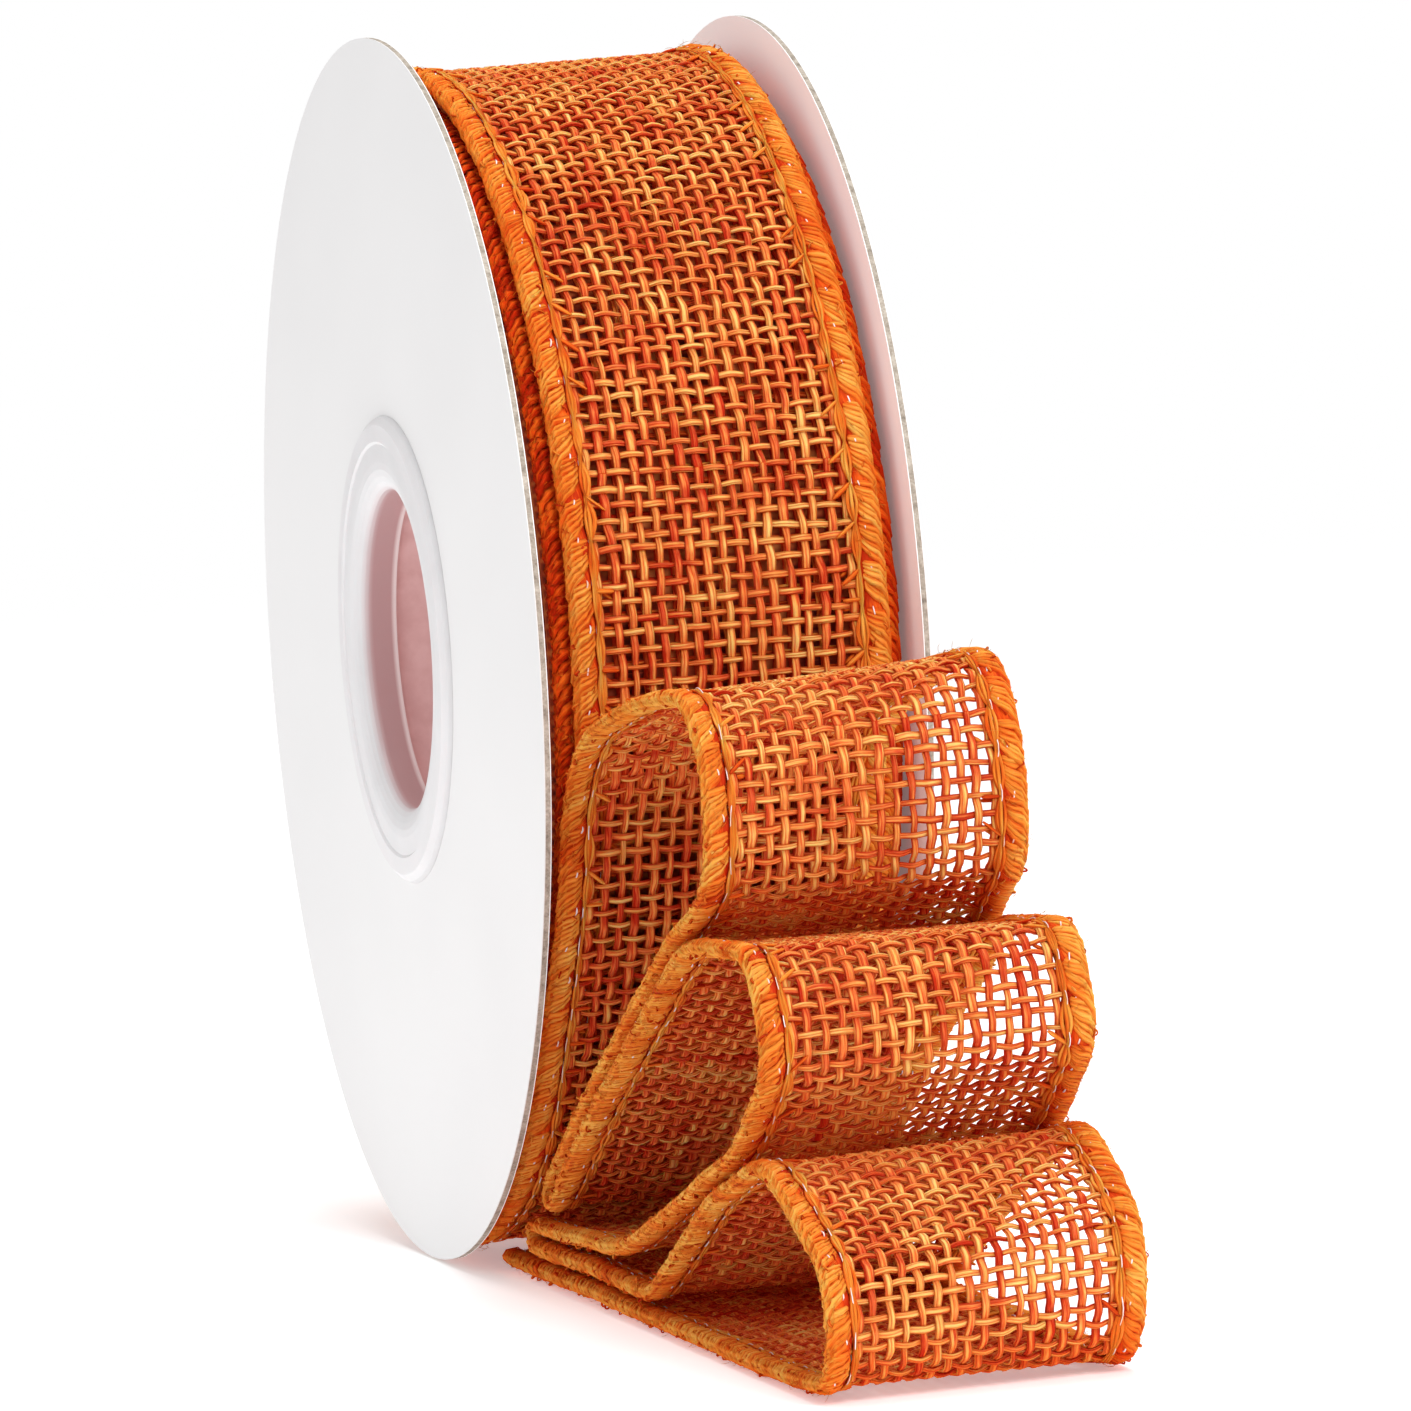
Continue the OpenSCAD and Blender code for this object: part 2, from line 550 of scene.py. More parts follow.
@dataclass(frozen=True)
class PaperFinish:
    """Smooth coated white liner paper, with a faint waviness.

    Attributes:
        name: the material's name.
        light: how much light it throws back.
        glow: how much light it gives off, as painted light that lifts it.
        tones: its darker and its lighter white.
    """

    name: str = "white_liner_paper"
    light: float = 0.86
    glow: float = 0.0
    tones: tuple = ((0.965, 0.955, 0.96), (1, 0.99, 0.993))

    def build(self) -> bpy.types.Material:
        """Slow noise for the waviness and fine noise for the tooth.

        Returns:
            The material.
        """
        s = Sheet(self.name)
        where = s.place()
        slow = s.noise(where, 18.0, 2.0)
        fine = s.noise(where, 1400.0, 3.0)
        shades = [tuple(self.light * c for c in tone) for tone in self.tones]
        s.bump(s.plus(s.times(slow, 6.0), s.times(fine, 0.02)), 0.0006, 0.6)
        s.give(
            {
                "Base Color": s.ramp(slow, list(zip((0.3, 0.7), shades))),
                "Emission Color": (1.0, 0.98, 0.98, 1.0),
                "Emission Strength": self.glow,
                "Roughness": 0.5,
                "Specular IOR Level": 0.4,
            }
        )
        return s.material


@dataclass(frozen=True)
class GreyboardFinish:
    """Raw recycled board at the cut rim: brown-grey with lighter and darker fibres.

    Attributes:
        name: the material's name.
        stops: its greys, from dark to light.
    """

    name: str = "cut_greyboard"
    stops: tuple = (
        (0.3, (0.20, 0.165, 0.13)),
        (0.5, (0.40, 0.345, 0.285)),
        (0.72, (0.62, 0.56, 0.48)),
    )

    def build(self) -> bpy.types.Material:
        """Two sizes of noise mix three greys and roughen the cut.

        Returns:
            The material.
        """
        s = Sheet(self.name)
        where = s.place()
        coarse = s.noise(where, 900.0, 4.0)
        fine = s.noise(where, 3800.0, 2.0)
        both = s.plus(s.times(coarse, 0.6), s.times(fine, 0.4))
        s.bump(both, 0.0002, 0.9)
        s.give({"Base Color": s.ramp(both, self.stops), "Roughness": 0.95})
        return s.material


@dataclass(frozen=True)
class MilkyPlasticFinish:
    """Natural moulded plastic: milky, softly glossy, painted darker and pink in the bore where it
    goes into the roll: painted shade, tinted by the ribbon's light through the plastic.

    Attributes:
        name: the material's name.
        face: the collar's colour.
        deep: the colour deep in the bore, painted shade tinted by the ribbon's light.
        outer: the outer face, in metres from the spool's middle.
        depth: how far in from it the bore takes its deep colour.
        rim: the colour of the pale rim where the cap ends in the core.
        lip: where that rim starts, in metres from the spool's middle.
        rim_rise: how quickly it does, per metre.
    """

    name: str = "milky_cap_plastic"
    face: tuple = (0.80, 0.77, 0.785)
    deep: tuple = (0.56, 0.36, 0.365)
    outer: float = 0.0232
    depth: float = 0.0014
    rim: tuple = (0.90, 0.80, 0.79)
    lip: float = 0.0196
    rim_rise: float = 2200.0

    def build(self) -> bpy.types.Material:
        """The colour runs from face to deep, and then to rim, with the distance in along x.

        Returns:
            The material.
        """
        s = Sheet(self.name)
        where = s.place()
        parts = s.add("SeparateXYZ")
        s.join(where, parts.inputs[0])
        out = s.math("ABSOLUTE", parts.outputs[0])
        # Painted shade: the bore turns deeper and pinker the further in, tinted by the ribbon's
        # light through it.
        share = s.math("DIVIDE", s.less(self.outer, out), self.depth, clamp=True)
        cloud = s.noise(where, 160.0, 2.0)
        face = s.ramp(cloud, [(0.3, tuple(0.95 * c for c in self.face)), (0.7, self.face)])
        rim = s.times(s.less(self.lip, out), self.rim_rise, clamp=True)
        s.bump(s.noise(where, 700.0, 2.0), 0.00004, 0.5)
        s.give(
            {
                "Base Color": s.mix(rim, s.mix(share, face, self.deep), self.rim),
                "Roughness": 0.34,
                "Subsurface Weight": 0.35,
                "Subsurface Radius": (1.0, 0.75, 0.75),
                "Subsurface Scale": 0.003,
            }
        )
        return s.material


@dataclass(frozen=True)
class MottledFinish:
    """A plain stuff of two mottled colours.

    Attributes:
        name: the material's name.
        scale: the mottling's scale.
        detail: its octaves.
        stops: its two colours and where they stand.
        surface: the shader's other inputs.
        grain: strength of the mottling's bump, 0.04 mm deep; none when 0.
    """

    name: str
    scale: float
    detail: float
    stops: tuple
    surface: dict
    grain: float = 0.0

    def build(self) -> bpy.types.Material:
        """One noise mixes the two colours and may roughen the surface.

        Returns:
            The material.
        """
        s = Sheet(self.name)
        mottle = s.noise(s.place(), self.scale, self.detail)
        if self.grain:
            s.bump(mottle, 0.00004, self.grain)
        s.give({"Base Color": s.ramp(mottle, self.stops), **self.surface})
        return s.material


@dataclass(frozen=True)
class UnderTurnFinish:
    """The turns beneath the outer ones: the same weave, seen only in shade, and painted dark for
    it.

    Attributes:
        name: the material's name.
        pitch: millimetres from yarn to yarn.
        stops: the colour's ramp, from between the yarns to their tops, all darker than the burlap's
            as painted shade.
    """

    name: str = "under_turn_weave"
    pitch: float = 1.78
    stops: tuple = (
        (0.45, (0.20, 0.018, 0.006)),
        (0.72, (0.58, 0.085, 0.020)),
        (0.95, (0.85, 0.27, 0.06)),
    )

    def build(self) -> bpy.types.Material:
        """Yarns are raised stripes across and round the roll, over a deep red ground of painted
        shade.

        Returns:
            The material.
        """
        s = Sheet(self.name)
        across, along = [s.ridge(s.times(way, np.pi / self.pitch)) for way in s.fibre()]
        top = s.math("MAXIMUM", across, along)
        patch = s.noise(s.place(), 420.0, 3.0)
        mixed = s.plus(s.times(top, 0.55), s.times(patch, 0.6))
        s.bump(mixed, 0.0004, 0.8)
        s.give({"Base Color": s.ramp(mixed, self.stops), "Roughness": 0.9})
        return s.material


BURLAP_STOPS = (
    (0.0, (1.0, 0.64, 0.20)),
    (0.22, (1.0, 0.46, 0.118)),
    (0.45, (0.95, 0.275, 0.068)),
    (0.72, (0.76, 0.130, 0.040)),
    (1.0, (0.57, 0.034, 0.011)),
)
EDGE_STOPS = (
    (0.0, (1.0, 0.46, 0.090)),
    (0.35, (0.96, 0.275, 0.034)),
    (0.7, (0.80, 0.125, 0.013)),
    (1.0, (0.52, 0.035, 0.007)),
)
BURLAP = YarnFinish("burlap_yarn", BURLAP_STOPS)
OVERLOCK = YarnFinish(
    "overlock_yarn",
    EDGE_STOPS,
    strands=3.0,
    twist=16.0,
    groove=0.00020,
    fibre=34.0,
    shade=0.36,
    strand_dye=0.9,
    fibre_dye=1.0,
    patch=220.0,
)
# The core tube: clouded plastic, painted pink for the ribbon's light that comes through it.
CORE = MottledFinish(
    "core_plastic",
    420.0,
    4.0,
    ((0.35, (0.76, 0.48, 0.47)), (0.65, (0.84, 0.57, 0.56))),
    {"Roughness": 0.5},
    grain=0.5,
)
# Clear monofilament, painted pale: its colour is a painted highlight for the white glints it
# catches.
THREAD = MottledFinish(
    "clear_lock_thread",
    500.0,
    1.0,
    ((0.38, (0.86, 0.55, 0.40)), (0.6, (0.88, 0.80, 0.80))),
    {"Roughness": 0.18, "Specular IOR Level": 0.8},
)
# Drawn steel wire.
WIRE = MottledFinish(
    "edge_wire_steel",
    2500.0,
    2.0,
    ((0.3, (0.5, 0.5, 0.5)), (0.7, (0.7, 0.7, 0.7))),
    {"Metallic": 1.0, "Roughness": 0.3},
)


@dataclass(frozen=True)
class Finishes:
    """Every finish of the spool, built once."""

    burlap: bpy.types.Material
    edge: bpy.types.Material
    paper: bpy.types.Material
    inner_paper_lit: bpy.types.Material
    board: bpy.types.Material
    plastic: bpy.types.Material
    core: bpy.types.Material
    thread: bpy.types.Material
    wire: bpy.types.Material
    under: bpy.types.Material

    @staticmethod
    def build() -> "Finishes":
        """Builds every material.

        Returns:
            The set.
        """
        kinds = (
            BURLAP,
            OVERLOCK,
            PaperFinish(),
            # The inner faces' paper: the same paper painted lighter and glowing, as painted light
            # on the faces that look into the roll.
            PaperFinish("inner_liner_paper_lit", light=0.93, glow=0.12),
            GreyboardFinish(),
            MilkyPlasticFinish(),
            CORE,
            THREAD,
            WIRE,
            UnderTurnFinish(),
        )
        return Finishes(*[kind.build() for kind in kinds])


# ---------------------------------------------------------------- the surface the ribbon follows


@dataclass
class Lay:
    """The middle surface of a run of ribbon, ruled between its two edge lines.

    Point(x, s, h) = near edge at s, mixed with far edge at s by x's share of the
    width, plus h along the surface's outward normal.

    Attributes:
        near: the left edge's points, evenly spaced along the ribbon, in millimetres.
        far: the right edge's points, in step with the near ones.
        step: millimetres of ribbon from point to point.
    """

    near: Array
    far: Array
    step: float
    near_way: Array = field(init=False)
    far_way: Array = field(init=False)

    def __post_init__(self) -> None:
        """Works out the directions along both edges."""
        self.near_way = unit(np.gradient(self.near, axis=0))
        self.far_way = unit(np.gradient(self.far, axis=0))

    @property
    def length(self) -> float:
        """Millimetres of ribbon in the run."""
        return (len(self.near) - 1) * self.step

    def at(self, x: Array, s: Array, h: Array) -> tuple[Array, Array]:
        """Points of the ribbon and the surface's normal there.

        Args:
            x: millimetres across, as on the frame's x.
            s: millimetres along.
            h: millimetres off the middle surface.

        Returns:
            The points and the normals.
        """
        x, s, h = np.broadcast_arrays(x, s, h)
        place = np.clip(s / self.step, 0, len(self.near) - 1.001)
        low = place.astype(int)
        part = (place - low)[..., None]
        share = ((x - RIBBON_LEFT) / (RIBBON_RIGHT - RIBBON_LEFT))[..., None]

        def mixed(near: Array, far: Array) -> Array:
            """Rows low and low + 1 of both edges, mixed by part and by share."""
            a = near[low] * (1 - part) + near[low + 1] * part
            b = far[low] * (1 - part) + far[low + 1] * part
            return a * (1 - share) + b * share

        over = self.far[low] - self.near[low]
        normal = unit(np.cross(mixed(self.near_way, self.far_way), over))
        return mixed(self.near, self.far) + h[..., None] * normal, normal


def fillet(before: Array, corner: Array, after: Array, radius: float) -> Array:
    """An arc that rounds a corner, from tangent point to tangent point.

    The centre stands on the corner's bisector, radius away from both straight lines.

    Args:
        before: the point before the corner.
        corner: the corner.
        after: the point after it.
        radius: the arc's radius.

    Returns:
        Points along the arc.
    """
    a, b = unit(before - corner), unit(after - corner)
    opening = np.arccos(np.clip(a @ b, -1, 1))
    reach = radius / np.tan(opening / 2)
    centre = corner + unit(a + b) * radius / np.sin(opening / 2)
    start, end = corner + a * reach - centre, corner + b * reach - centre
    swing = np.pi - opening
    turn = np.linspace(0, 1, max(2, int(swing / 0.06)))[:, None] * swing
    across = unit(end - start * np.cos(swing))
    return centre + start * np.cos(turn) + across * radius * np.sin(turn)


def evenly(line: Array, step: float, soften: float) -> Array:
    """A line walked in equal steps, then eased with a bell-shaped average.

    Args:
        line: points.
        step: millimetres from point to point.
        soften: the average's reach, in millimetres.

    Returns:
        Evenly spaced points.
    """
    run = np.concatenate([[0], np.cumsum(np.linalg.norm(np.diff(line, axis=0), axis=1))])
    at = np.arange(0, run[-1], step)
    even = np.stack([np.interp(at, run, line[:, i]) for i in range(line.shape[1])], axis=1)
    half = int(3 * soften / step)
    bell = np.exp(-0.5 * (np.arange(-half, half + 1) * step / soften) ** 2)
    bell /= bell.sum()
    padded = np.pad(even, ((half, half), (0, 0)), mode="reflect", reflect_type="odd")
    return np.stack([np.convolve(padded[:, i], bell, "valid") for i in range(line.shape[1])], 1)


@dataclass
class TailLine:
    """The tail's side view: down the roll, out in three loops, and in along the floor.

    Attributes:
        corners: y, z and corner radius, from the ribbon's end on the floor upwards.
        top: where the ribbon meets the roll, in degrees.
        end: where it ends under the roll, in degrees.
        presses: where an edge stands off that line: y, z, then the near edge's move and
            the far edge's move, in y and z.
        reach: millimetres over which a press fades.
        step: millimetres from point to point.
        drift: how far the ribbon moves across, to the left, before its end on the roll.
        drift_from: where it starts to, in millimetres before that end.
        drift_over: millimetres of ribbon over which it does.
        hold: the weight of staying put, against the presses.
    """

    corners: tuple = (
        (-16, -71.8, 0),
        (-171, -71.8, 6),
        (-168.5, -58.5, 10),
        (-146, -47.2, 18),
        (-118, -56, 60),
        (-88, -69.2, 20),
        (-29.8, -69.2, 1.25),
        (-29.8, -66.6, 1.25),
        (-74, -66.2, 60),
        (-133, -48.5, 40),
        (-152.5, -37, 6.5),
        (-147, -24.5, 7),
        (-119, -27.5, 25),
        (-40.2, -63.9, 1.25),
        (-39.11, -61.54, 1.25),
        (-131, -19, 9),
        (-127.5, 2.5, 12),
        (-71.5, -8.5, 20),
    )
    top: float = -18.0
    end: float = -100.0
    presses: tuple = (
        (-80, -8.5, 1.5, 1.0, 0, 2),
        (-89, -5, 1, 2.2, 0, 3),
        (-100, -3, 0, 2.3, 0, 5),
        (-108, -1, 0, 1.5, 1, 4.5),
        (-118, 0, 1, -0.7, 4, 2),
        (-130, -7, 1.2, -0.5, 5, 0),
        (-131, -16, 3, -0.3, 5.5, 0),
        (-125, -23, 5, 0, 6, 0),
        (-107, -32, 1.5, 2.8, 1, 0),
        (-89, -40, 1.2, 2.7, 0.5, 0.5),
        (-71, -48, 1, 2.4, 0, 1),
        (-56, -54, 0.6, 1.4, 0, 0.5),
        (-43, -62, 0, 0, 0, 0),
        (-135, -26, 2, -0.6, 2.5, -0.5),
        (-146, -26, 7, -2.7, 3, -1),
        (-152, -34, 2.8, -0.3, 3.5, 0),
        (-146, -41, 3.4, -0.3, 0, 0),
        (-137, -46, 3.7, -0.4, -3, 0),
        (-126, -50, 2.5, 0, -2, 0),
        (-110, -56, 0, 0, 0, 0),
        (-145, -49, 2, -2.5, 3.5, 1.2),
        (-135, -51.5, 1, -1.8, 2, 0.5),
        (-155, -51, 0, -1.3, 1.5, 1.5),
        (-166, -57, -1, -0.5, 2.5, 2),
        (-172, -64, -2.5, 0, 3.5, 1.5),
        (-168, -71.3, 2.5, 0.9, 15, -0.7),
        (-150, -71.8, 0, 0, 0, -0.4),
    )
    reach: float = 7.5
    step: float = 0.25
    drift: float = -2.8
    drift_from: float = 165.0
    drift_over: float = 90.0
    hold: float = 0.25

    def line(self) -> Array:
        """The line as y and z, evenly spaced."""
        c = np.array(self.corners, float)
        turns = np.radians(np.arange(self.top, self.end - 1, -1.0))
        wrap = WRAP_RADIUS * np.stack([-np.cos(turns), np.sin(turns)], axis=1)
        knots = np.concatenate([c[:, :2], wrap[:1]])
        runs = [knots[:1]]
        for i in range(1, len(c)):
            runs.append(fillet(knots[i - 1], knots[i], knots[i + 1], c[i, 2]))
        return evenly(np.concatenate(runs + [wrap]), self.step, 0.7)

    def pressed(self, line: Array, first: int) -> Array:
        """The line moved by the presses.

        Each press pulls by a bell of its distance; the pulls' sum is shared out by
        the bells' sum plus hold, so that far from all of them nothing moves.

        Args:
            line: y and z.
            first: the column of the presses where this edge's moves start.

        Returns:
            The moved line.
        """
        p = np.array(self.presses, float)
        gap = np.linalg.norm(line[:, None] - p[None, :, :2], axis=2)
        bell = np.exp(-0.5 * (gap / self.reach) ** 2)
        pull = bell @ p[:, first : first + 2] / (bell.sum(1, keepdims=True) + self.hold)
        return line + pull

    def lay(self) -> Lay:
        """The tail's surface.

        Returns:
            The lay.
        """
        line = self.line()
        near, far = self.pressed(line, 2), self.pressed(line, 4)
        run = np.arange(len(line)) * self.step
        share = np.clip((run - run[-1] + self.drift_from) / self.drift_over, 0, 1)
        drift = self.drift * share**2 * (3 - 2 * share)
        return Lay(
            np.column_stack([RIBBON_LEFT + drift, near]),
            np.column_stack([RIBBON_RIGHT + drift, far]),
            self.step,
        )


@dataclass
class RollLine:
    """One turn of ribbon on the roll, once round from under the spool.

    Attributes:
        radius: of the middle surface.
        start: where the turn starts, in degrees.
        drift: how far the turn stands to the right of the tail, in millimetres.
        lift: how far its right edge stands up at the top.
        step: millimetres from point to point.
    """

    radius: float = ROLL_RADIUS
    start: float = -100.0
    drift: float = 0.0
    lift: float = 0.0
    step: float = 0.25

    def lay(self) -> Lay:
        """The turn's surface: two circles, the right one raised near the top.

        Returns:
            The lay.
        """
        full = 2 * np.pi * self.radius
        run = np.arange(0, full + 2 * self.step, self.step)
        angle = np.radians(self.start) - run / self.radius
        wave = 0.25 * np.sin(3 * angle + 0.6) + 0.18 * np.sin(7 * angle)
        side = self.drift + 0.35 * np.sin(2 * angle + 1.1)
        far = self.radius + self.lift * np.clip(np.sin(angle), 0, 1) ** 3
        edges = []
        for place, radius in ((RIBBON_LEFT, self.radius), (RIBBON_RIGHT, far)):
            r = radius + 0.15 * wave
            edges.append(np.column_stack([place + side, -r * np.cos(angle), r * np.sin(angle)]))
        return Lay(edges[0], edges[1], self.step)


# ---------------------------------------------------------------- weaving


@dataclass
class Loom:
    """A plain weave of slubby yarns over a lay.

    Attributes:
        warps: yarns along the ribbon.
        warp_pitch: millimetres between them.
        weft_pitch: millimetres from weft to weft.
        width: a yarn's width.
        thick: a yarn's thickness.
        crimp: how far a yarn swings off the middle surface.
        rings: rings from one crossing to the next along a yarn.
        sides: points round a yarn.
        seed: the weave's own random seed.
        deep: how much deeper its colour is all over, as painted shade for a weave beneath.
        inner: how much deeper its colour is on the face inside the loops, as painted shade.
        warp_dye: the warps' mean place on the dye's ramp.
        weft_dye: the wefts'.
        crossing_shade: how much deeper a yarn is where it changes sides, as painted shade
        between the yarns it crosses.
        weft_share: a weft's width over a warp's.
    """

    warps: int = 17
    warp_pitch: float = 1.88
    weft_pitch: float = 1.87
    width: float = 0.99
    thick: float = 0.50
    crimp: float = 0.27
    rings: int = 3
    sides: int = 6
    seed: int = 7
    deep: float = 0.0
    inner: float = 0.0
    warp_dye: float = 0.34
    weft_dye: float = 0.21
    crossing_shade: float = 0.16
    weft_share: float = 0.76

    @property
    def middle(self) -> float:
        """The web's middle across the ribbon."""
        return (RIBBON_LEFT + RIBBON_RIGHT) / 2

    def tints(self, rng: np.random.Generator, rows: int, count: int, base: float) -> Array:
        """The dye of each yarn, with its painted shade, by ring and by corner of its section.

        A slow change along the yarn, plus a change of each of its three strands, which
        turn slowly round it, plus painted shade: deeper all over by deep, and deeper on the
        face inside the loops.

        Args:
            rng: the seeded source.
            rows: yarns.
            count: rings.
            base: the mean place on the ramp.

        Returns:
            Rows by rings by sides.
        """
        # Painted shade: deep makes a weave that lies beneath deeper all over.
        slow = base + self.deep + 0.12 * wander(rng, rows, count, 12)
        slow = slow + 0.09 * varied(rng, rows)
        strands = np.stack([wander(rng, rows, count, 11) for _ in range(3)], axis=2)
        turn = (np.arange(self.sides) / self.sides * 3)[None, :] + np.arange(count)[:, None] * 0.05
        low = turn.astype(int) % 3
        part = turn - turn.astype(int)
        rings = np.arange(count)[:, None]
        strand = strands[:, rings, low] * (1 - part) + strands[:, rings, (low + 1) % 3] * part
        # Painted shade: the face inside the loops is made deeper.
        face = np.sin((np.arange(self.sides) + 0.5) / self.sides * 2 * np.pi - np.pi / 2)
        tint = slow[..., None] + 0.15 * strand + self.inner * np.clip(face, 0, 1)
        return np.clip(tint, 0.0, 1.0)

    def section(self, rng: np.random.Generator, rows: int, count: int) -> tuple[Array, Array]:
        """Half widths and half heights, thicker at slubs and thinner between.

        Args:
            rng: the seeded source.
            rows: yarns.
            count: rings.

        Returns:
            The two arrays, rows by rings.
        """
        slub = 1 + 0.13 * wander(rng, rows, count, 9) + 0.08 * varied(rng, rows)
        slub = np.clip(slub, 0.62, 1.35)
        return self.width / 2 * slub, self.thick / 2 * np.clip(1.5 - slub / 2, 0.85, 1.15)

    def weave(self, lay: Lay, cuts: int, dish: float = 0.0) -> list[Tubes]:
        """The whole run's yarns, parted along the ribbon into pieces.

        Warp height = crimp cos(pi (weft number + warp number)), and a weft has the
        opposite sign, so each passes over one and under the next.

        Args:
            lay: the surface.
            cuts: how many pieces.
            dish: how far the web's middle lies below its edges.

        Returns:
            One batch for each piece.
        """
        rng = np.random.default_rng(self.seed)
        ring = self.weft_pitch / self.rings
        rings = int(lay.length / ring) + 1
        s = np.arange(rings) * ring
        number = np.arange(self.warps)
        x0 = self.middle + (number - (self.warps - 1) / 2) * self.warp_pitch
        x = x0[:, None] + 0.15 * wander(rng, self.warps, rings, 11)
        x = x + 0.05 * wander(rng, self.warps, rings, 3.5)
        swing = np.cos(np.pi * (s[None, :] / self.weft_pitch + number[:, None]))
        h = self.crimp * swing - dish
        centre, up = lay.at(x, s[None, :], h)
        wide, tall = self.section(rng, self.warps, rings)
        warp_tint = self.tints(rng, self.warps, rings, self.warp_dye)
        # Painted shade: a warp is deeper where it changes sides between the crossing wefts.
        warp_tint = warp_tint + self.crossing_shade * (1 - np.abs(swing))[..., None]

        wefts = int((lay.length - 0.4) / self.weft_pitch)
        half = ((self.warps - 1) * self.rings) // 2 + self.rings + 1
        across = 2 * half + 1
        xs = self.middle + np.arange(-half, half + 1) * self.warp_pitch / self.rings
        row = np.arange(wefts)
        along = row[:, None] * self.weft_pitch + 0.15 * wander(rng, wefts, across, 14)
        along = along + 0.12 * varied(rng, wefts) + 0.04 * wander(rng, wefts, across, 3)
        along = np.clip(along, 0.3, lay.length - 0.3)
        phase = (xs - x0[0]) / self.warp_pitch
        hw = -self.crimp * np.cos(np.pi * (phase[None, :] + row[:, None])) - dish
        weft_centre, weft_up = lay.at(xs[None, :], along, hw)
        weft_wide, weft_tall = self.section(rng, wefts, across)
        weft_wide = weft_wide * self.weft_share
        weft_tint = self.tints(rng, wefts, across, self.weft_dye)
        # Painted shade: a weft is deeper where it changes sides between the crossing warps.
        weft_tint = weft_tint + self.crossing_shade * (1 - np.abs(hw + dish) / self.crimp)[..., None]

        pieces = []
        for k in range(cuts):
            a, b = rings * k // cuts, min(rings, rings * (k + 1) // cuts + 1)
            c, d = wefts * k // cuts, wefts * (k + 1) // cuts
            warp = sweep(
                centre[:, a:b], up[:, a:b], wide[:, a:b], tall[:, a:b],
                self.sides, warp_tint[:, a:b], 0.97,
            )
            weft = sweep(
                weft_centre[c:d], weft_up[c:d], weft_wide[c:d], weft_tall[c:d],
                self.sides, weft_tint[c:d],
            )
            pieces.append(Tubes.joined([warp, weft]))
        return pieces


